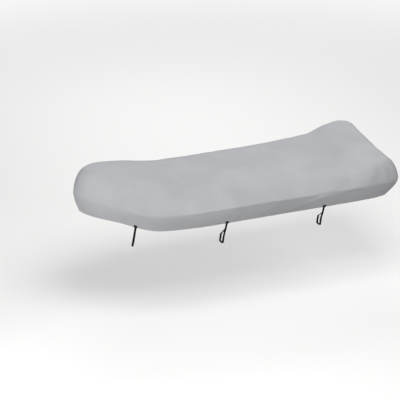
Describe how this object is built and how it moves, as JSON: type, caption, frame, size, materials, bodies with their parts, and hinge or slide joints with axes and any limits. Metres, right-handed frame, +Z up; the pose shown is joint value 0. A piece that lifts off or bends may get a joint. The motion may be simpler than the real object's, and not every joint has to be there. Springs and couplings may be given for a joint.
{
  "type": "boat cover",
  "caption": "Fitted fabric cover for a small inflatable boat: hollow shell with a domed top panel, a drawn-in skirt under a side seam, and webbing tie-downs with rail loops.",
  "frame": {"origin": "underside of the top panel at the middle of the cover's length, on its centre line, where the boat's deck carries the cover", "axes": "+X from bow to stern, +Y to starboard, +Z up"},
  "size_m": [3.88, 1.5819, 0.9051],
  "materials": {
    "cover_cloth": "plain-woven coated polyester, matt light grey",
    "webbing": "woven black polypropylene webbing, matt"
  },
  "bodies": {
    "root": {"top_panel": "cover_cloth", "skirt_bow": "cover_cloth", "skirt_port": "cover_cloth", "skirt_stern": "cover_cloth", "skirt_starboard": "cover_cloth", "tab_port_1": "webbing", "tab_port_2": "webbing", "tab_port_3": "webbing", "tab_starboard_1": "webbing", "tab_starboard_2": "webbing", "tab_starboard_3": "webbing", "strap_port_1": "webbing", "strap_port_2": "webbing", "strap_port_3": "webbing", "strap_starboard_1": "webbing", "strap_starboard_2": "webbing", "strap_starboard_3": "webbing"}
  },
  "joints": []
}
